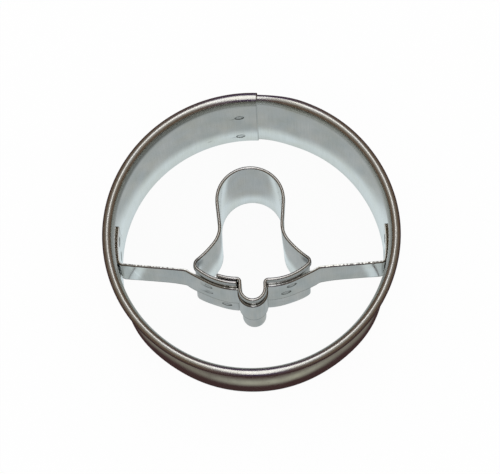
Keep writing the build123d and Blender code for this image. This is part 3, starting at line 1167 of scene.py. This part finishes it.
def new_group(name, inputs, outputs):
    """An empty node group with named sockets, and the wiring inside it."""
    group = bpy.data.node_groups.new(name, "ShaderNodeTree")
    add_socket, kind = group.interface.new_socket, "NodeSocketFloat"
    for label, default in inputs.items():
        add_socket(name=label, in_out="INPUT", socket_type=kind).default_value = default
    for label in outputs:
        add_socket(name=label, in_out="OUTPUT", socket_type=kind)
    wire = Wiring(group)
    return group, wire, wire.add("NodeGroupInput").outputs


def rolling_marks():
    """Fine marks drawn across the strip by the rollers, from stretched noise on the strip's map."""
    found = bpy.data.node_groups.get("Rolling marks")
    if found:
        return found
    defaults = {"Fineness": 5200.0, "Length": 130.0}
    group, wire, given = new_group("Rolling marks", defaults, ["Marks", "Bands"])
    place = wire.add("ShaderNodeUVMap", uv_map="strip").outputs[0]
    split = wire.add("ShaderNodeSeparateXYZ", {0: place}).outputs
    scaled = {axis: wire.math("MULTIPLY", split[axis], given[axis]) for axis in (0, 1)}
    fine = wire.add("ShaderNodeCombineXYZ", scaled).outputs[0]
    broad = wire.add("ShaderNodeVectorMath", {0: fine, 1: (0.12, 0.4, 1.0)}, operation="MULTIPLY")
    results = {"Marks": wire.noise(fine, detail=3.0), "Bands": wire.noise(broad.outputs[0])}
    wire.add("NodeGroupOutput", results)
    return group


def handling_wear():
    """Smudges, short scratches and small pits from use, worked out in the piece's own space."""
    found = bpy.data.node_groups.get("Handling wear")
    if found:
        return found
    group, wire, given = new_group("Handling wear", {"Size": 1.0}, ["Smudge", "Scratch", "Pits"])
    place = wire.add("ShaderNodeTexCoord").outputs["Object"]
    inputs = {0: place, "Scale": given[0]}
    scaled = wire.add("ShaderNodeVectorMath", inputs, operation="SCALE").outputs[0]
    scratches = []
    for turn in ((0.3, 0.2, 0.5), (-0.4, 0.6, -0.9)):
        inputs = {"Vector": scaled, "Rotation": turn, "Scale": (260.0, 2600.0, 2600.0)}
        inputs = {"Vector": wire.add("ShaderNodeMapping", inputs).outputs[0], "Scale": 0.35}
        cells = wire.add("ShaderNodeTexVoronoi", inputs, feature="DISTANCE_TO_EDGE").outputs[0]
        scratches.append(wire.remap(cells, 0.012, 0.0))
    where = wire.remap(wire.noise(scaled, 700.0), 0.5, 0.66)
    results = {
        "Smudge": wire.noise(scaled, 260.0, 4.0),
        "Scratch": wire.math("MULTIPLY", wire.math("MAXIMUM", *scratches), where),
        "Pits": wire.remap(wire.noise(scaled, 3800.0, 1.0), 0.72, 0.8),
    }
    wire.add("NodeGroupOutput", results)
    return group


def metal(wire, tone, rough, height, strength, depth):
    """Ends a material as bare metal with a bump of some depth."""
    inputs = {"Height": height, "Strength": strength, "Distance": depth}
    bump = wire.add("ShaderNodeBump", inputs).outputs[0]
    inputs = {"Base Color": tone, "Metallic": 1.0, "Roughness": rough, "Normal": bump}
    shader = wire.add("ShaderNodeBsdfPrincipled", inputs)
    wire.add("ShaderNodeOutputMaterial", {0: shader.outputs[0]})


def tinplate(name, base, settings):
    """Bright tinplate: drawn marks, faint smudges and scratches, heat tint, the strips' marks with
    painted shade and light, and dull edges that are partly painted shade.
    """
    found = bpy.data.materials.get(name)
    if found:
        return found
    finish = settings.finish
    material = bpy.data.materials.new(name)
    wire = blank(material)
    rolled = wire.add("ShaderNodeGroup", node_tree=rolling_marks()).outputs
    worn = wire.add("ShaderNodeGroup", node_tree=handling_wear()).outputs
    heat, edge, stain = (wire.stored(label) for label in ("heat", "edge", "mark"))
    smudge_tint, dirt_and_shade_colour = (0.94, 0.92, 0.86), (0.20, 0.19, 0.17)
    base = tuple(base)
    warm = tuple(c * f for c, f in zip(base, smudge_tint))
    tone = wire.mix(wire.remap(worn["Smudge"], 0.35, 0.7), opaque(base), opaque(warm))
    drawn = wire.remap(rolled["Marks"], 0.3, 0.7, 0.93, 1.03)
    # The stored mark darkens the tin for marks and painted shade, and lightens it for a painted
    # highlight
    drawn = wire.math("MULTIPLY", drawn, wire.math("SUBTRACT", 1.0, stain))
    shade = wire.add("ShaderNodeCombineColor", {0: drawn, 1: drawn, 2: drawn}).outputs[0]
    tone = wire.mix(1.0, tone, shade, "MULTIPLY")
    # Pits and edges take a dark colour; along the cutting edges it is painted shade as well as wear
    pitted, worn_and_shaded_edge = wire.math("MULTIPLY", worn["Pits"], 0.4), wire.math("MULTIPLY", edge, 0.6)
    tone = wire.mix(wire.math("MAXIMUM", pitted, worn_and_shaded_edge), tone, opaque(dirt_and_shade_colour))
    tone = wire.mix(wire.math("MULTIPLY", heat, 0.85), tone, opaque(finish.tint_colour))
    smoothest, roughest = finish.roughness - 0.02, finish.roughness + 0.03
    rough = wire.remap(rolled["Bands"], 0.3, 0.7, smoothest, roughest)
    rough = wire.math("ADD", rough, wire.math("MULTIPLY", worn["Scratch"], 0.12))
    rough = wire.math("ADD", rough, wire.math("MULTIPLY", heat, 0.12))
    level = wire.add("ShaderNodeTexCoord").outputs["Object"]
    level = wire.add("ShaderNodeSeparateXYZ", {0: level}).outputs[2]
    rolled_edge = wire.remap(level, 16.4 * MM, 17.2 * MM, 0.0, finish.rolled_roughness)
    rough = wire.math("ADD", rough, rolled_edge)
    ridges = wire.math("MULTIPLY", rolled["Marks"], 0.5)
    cuts = wire.math("MULTIPLY", worn["Scratch"], -0.6)
    height = wire.math("SUBTRACT", wire.math("ADD", ridges, cuts), pitted)
    metal(wire, tone, rough, height, 0.25, 0.004 * MM)
    return material


def weld_finish(settings):
    """A spot weld: a pale, slightly dull middle in a dark, heat-tinted ring."""
    finish = settings.finish
    material = bpy.data.materials.new("spot weld")
    wire = blank(material)
    worn = wire.add("ShaderNodeGroup", {"Size": 2.0}, node_tree=handling_wear()).outputs
    uneven = wire.remap(worn["Smudge"], 0.3, 0.7, -0.14, 0.14)
    ragged = wire.math("ADD", wire.stored("mark"), uneven)
    ring = wire.add("ShaderNodeValToRGB", {0: ragged})
    ramp = ring.color_ramp
    ramp.elements[0].position, ramp.elements[0].color = 0.5, opaque(finish.weld_colour)
    ramp.elements[1].position, ramp.elements[1].color = 0.82, opaque(finish.tint_colour)
    rough = wire.remap(ragged, 0.3, 0.9, 0.3, 0.42)
    metal(wire, ring.outputs[0], rough, worn["Pits"], 0.4, 0.01 * MM)
    return material


# Stage

WHITE, BLACK = opaque((1, 1, 1)), opaque((0, 0, 0))


def by_ray(wire, matt, seen, mirrored):
    """One shader for what the camera sees, one for what metal mirrors, one for all other light."""
    rays = wire.add("ShaderNodeLightPath").outputs
    gloss = wire.math("MAXIMUM", rays["Is Glossy Ray"], rays["Is Transmission Ray"])
    return wire.blend(gloss, wire.blend(rays["Is Camera Ray"], matt, seen), mirrored)


def floor_finish(settings):
    """A white floor to the eye and in light, and a grey table with darker surroundings in gloss.

    What the metal mirrors of it glows with painted light in bands beside the walls, which the
    floor's own values give, and outside the ring with painted shadow and a stripe of painted light,
    by the distance from the ring's axis.
    """
    ring_radius = settings.ring.diameter / 2
    material = bpy.data.materials.new("white table")
    wire = blank(material)
    greys = opaque((0.395, 0.44, 0.455)), opaque((0.46, 0.49, 0.495))
    pale, lit_olive, brown = (0.71, 0.80, 0.83), (0.40, 0.40, 0.33), (0.055, 0.03, 0.03)
    white_glow = 0.95
    place = wire.add("ShaderNodeTexCoord").outputs["Object"]
    reach = wire.add("ShaderNodeVectorMath", {0: place}, operation="LENGTH").outputs["Value"]
    plain = wire.mix(wire.remap(wire.noise(place, 420.0, 3.0), 0.35, 0.65), *greys)
    # The stored value is painted light beside the walls, which the metal mirrors
    inside = wire.mix(wire.stored("pale"), plain, opaque(pale))
    # Outside the ring the mirrored table is brown painted shadow close to the ring, then a thin
    # olive stripe of painted light, fainter at the sides, then the room's brown
    lit_stripe = wire.add("ShaderNodeValToRGB", {0: wire.remap(reach, 22.8 * MM, 28.8 * MM)})
    ramp = lit_stripe.color_ramp
    ramp.elements[0].position, ramp.elements[0].color = 0.15, BLACK
    ramp.elements[1].position, ramp.elements[1].color = 0.36, BLACK
    for spot in (0.225, 0.275):
        ramp.elements.new(spot).color = WHITE
    side = wire.add("ShaderNodeSeparateXYZ", {0: place}).outputs[0]
    side = wire.math("ABSOLUTE", wire.math("SUBTRACT", side, 3 * MM))
    facing = wire.math("MULTIPLY", lit_stripe.outputs[0], wire.remap(side, 5 * MM, 12 * MM, 1.0, 0.5))
    outer = wire.mix(facing, opaque(brown), opaque(lit_olive))
    past_ring = wire.remap(reach, ring_radius * 0.945, ring_radius * 0.955)
    mirrored = wire.mix(past_ring, inside, outer)
    table = wire.add("ShaderNodeBsdfDiffuse", {"Color": opaque((0.9, 0.9, 0.9))}).outputs[0]
    white = wire.add("ShaderNodeEmission", {"Color": WHITE}).outputs[0]
    card = wire.add("ShaderNodeEmission", {"Color": mirrored}).outputs[0]
    both = by_ray(wire, table, wire.blend(white_glow, table, white), card)
    wire.add("ShaderNodeOutputMaterial", {0: both})
    return material


def make_floor(settings):
    """A wide flat floor just under the cutting edges.

    It is a grid of circles about the ring's axis. Each point holds how much painted light the metal
    mirrors of it: a band of some width beside the ring's foot and beside the foot of the bell's
    inside, with painted shade that dims it a little close to the wall.
    """
    sink = 0.02 * MM
    radii = np.concatenate([np.arange(1, 123) * 0.22 * MM, np.geomspace(28 * MM, 1.5, 20)])
    degrees = np.arange(0, 360, 0.75)
    plan = radii[:, None] * polar(1, degrees)
    index = np.arange(plan.size).reshape(plan.shape)
    faces = round_faces(index).tolist() + [index[0].tolist()]
    mesh = bpy.data.meshes.new("floor")
    mesh.from_pydata(raised(plan, -sink).reshape(-1, 3).tolist(), [], faces)

    # Painted light in a band of some width beside a wall, with painted shade dimming it close to
    # the wall
    def band(gap, width):
        soft, wall_reach, wall_shade = 0.45 * MM, 0.3 * MM, 0.3
        step = np.clip((width + soft - gap) / (2 * soft), 0, 1)
        shade = 1 - wall_shade * np.exp(-np.abs(gap) / wall_reach)
        return np.where(gap > -soft, step * shade, 0)

    foot = ring_inner_radius(settings) + wall_shift(0, degrees, settings)
    pale = band(foot - np.abs(plan), settings.stage.ring_band)
    path = bell_line(settings)
    outward = path.outward[::8]
    edge = in_plan(leaned(raised(path.points[::8], 0), settings.bell.height))
    core = radii < 13 * MM
    away = plan[core][..., None] - edge
    nearest = np.argmin(np.abs(away), axis=-1)
    away = np.take_along_axis(away, nearest[..., None], axis=-1)[..., 0]
    inside = (away * outward[nearest].conj()).real < 0
    pale[core] = np.where(inside, band(np.abs(away), settings.stage.bell_band), 0)
    store(mesh, "pale", pale)
    floor = linked("floor", mesh)
    mesh.materials.append(floor_finish(settings))


def make_world(settings):
    """White to the eye, even light for matt things, and a dim brown room for the metal."""
    world = bpy.data.worlds.new("studio")
    bpy.context.scene.world = world
    wire = blank(world)
    violet, brown, ceiling = (0.05, 0.025, 0.085), (0.12, 0.08, 0.05), (0.34, 0.33, 0.31)
    toward = wire.add("ShaderNodeTexCoord").outputs["Generated"]
    ahead = wire.add("ShaderNodeSeparateXYZ", {0: toward}).outputs
    to_side = wire.remap(wire.math("ABSOLUTE", ahead[0]), 0.05, 0.4)
    room = wire.mix(to_side, opaque(violet), opaque(brown))
    above = wire.mix(wire.remap(ahead[2], 0.66, 0.98), room, opaque(ceiling))
    skies = ((WHITE, settings.stage.fill), (WHITE, 1.0), (above, 1.0))
    shaders = [wire.add("ShaderNodeBackground", {0: c, 1: s}).outputs[0] for c, s in skies]
    wire.add("ShaderNodeOutputWorld", {0: by_ray(wire, *shaders)})


def make_lamps(settings):
    """One long, narrow softbox overhead, which runs from front to back."""
    wide, deep, high, ahead = 0.12, 1.2, 0.6, 0.13
    data = bpy.data.lights.new("softbox", "AREA")
    data.shape = "RECTANGLE"
    data.size, data.size_y = wide, deep
    data.energy = settings.stage.lamp_radiance * math.pi * wide * deep
    linked("softbox", data).location = (0.0, -ahead, high)


def make_camera(settings):
    """The camera: back along its azimuth and elevation from the aim, then rolled about its axis."""
    stage = settings.stage
    aim = Vector((-0.32 * MM, 2.03 * MM, 8.0 * MM))
    east, north = math.cos(stage.azimuth), math.sin(stage.azimuth)
    level = math.cos(stage.elevation)
    back = Vector((north * level, -east * level, math.sin(stage.elevation)))
    right = Vector((east, north, 0))
    up = back.cross(right)
    turned = Matrix.Rotation(stage.roll, 3, back)
    axes = Matrix((turned @ right, turned @ up, back)).transposed()
    data = bpy.data.cameras.new("camera")
    data.lens = stage.lens
    data.clip_start, data.clip_end = 1 * MM, 10.0
    camera = linked("camera", data)
    camera.matrix_world = Matrix.Translation(aim + back * stage.distance) @ axes.to_4x4()
    bpy.context.scene.camera = camera


# Operators, panel and registration

class CUTTER_OT_ring(bpy.types.Operator):
    """Make the outer ring with its rolled bead"""

    bl_idname = "cutter.ring"
    bl_label = "Outer Ring"

    def execute(self, context):
        make_ring(context.scene.cookie_cutter)
        return {"FINISHED"}


class CUTTER_OT_bell(bpy.types.Operator):
    """Make the bell-shaped inner cutter"""

    bl_idname = "cutter.bell"
    bl_label = "Bell"

    def execute(self, context):
        make_bell(context.scene.cookie_cutter)
        return {"FINISHED"}


class CUTTER_OT_strap(bpy.types.Operator):
    """Make the bridge strap that joins the bell to the ring"""

    bl_idname = "cutter.strap"
    bl_label = "Bridge Strap"

    def execute(self, context):
        make_strap(context.scene.cookie_cutter)
        return {"FINISHED"}


class CUTTER_OT_welds(bpy.types.Operator):
    """Make the groups of spot welds"""

    bl_idname = "cutter.welds"
    bl_label = "Spot Welds"

    def execute(self, context):
        make_welds(context.scene.cookie_cutter)
        return {"FINISHED"}


class CUTTER_OT_stage(bpy.types.Operator):
    """Make the floor, the light and the camera"""

    bl_idname = "cutter.stage"
    bl_label = "Stage"

    def execute(self, context):
        settings = context.scene.cookie_cutter
        context.scene.view_settings.view_transform = "Standard"
        make_floor(settings)
        make_world(settings)
        make_lamps(settings)
        make_camera(settings)
        return {"FINISHED"}


class CUTTER_PT_panel(bpy.types.Panel):
    """Buttons for the pieces, and their sizes"""

    bl_label = "Cookie Cutter"
    bl_idname = "CUTTER_PT_panel"
    bl_space_type = "VIEW_3D"
    bl_region_type = "UI"
    bl_category = "Cutter"

    def draw(self, context):
        settings = context.scene.cookie_cutter
        for operator in OPERATORS:
            self.layout.operator(operator.bl_idname)
        for label in ("sheet", "ring", "bell", "strap", "finish", "stage"):
            group = getattr(settings, label)
            box = self.layout.box()
            box.label(text=label.capitalize())
            for name in group.__annotations__:
                box.prop(group, name)


OPERATORS = (CUTTER_OT_stage, CUTTER_OT_ring, CUTTER_OT_bell, CUTTER_OT_strap, CUTTER_OT_welds)
CLASSES = (
    CutterSheet,
    CutterRing,
    CutterBell,
    CutterStrap,
    CutterFinish,
    CutterStage,
    CutterSettings,
    *OPERATORS,
    CUTTER_PT_panel,
)


def register():
    for cls in CLASSES:
        bpy.utils.register_class(cls)
    bpy.types.Scene.cookie_cutter = PointerProperty(type=CutterSettings)


def unregister():
    del bpy.types.Scene.cookie_cutter
    for cls in reversed(CLASSES):
        bpy.utils.unregister_class(cls)


def main():
    """Registers the classes and makes every piece in order."""
    register()
    for operator in OPERATORS:
        group, name = operator.bl_idname.split(".")
        getattr(getattr(bpy.ops, group), name)()


if __name__ == "__main__":
    main()
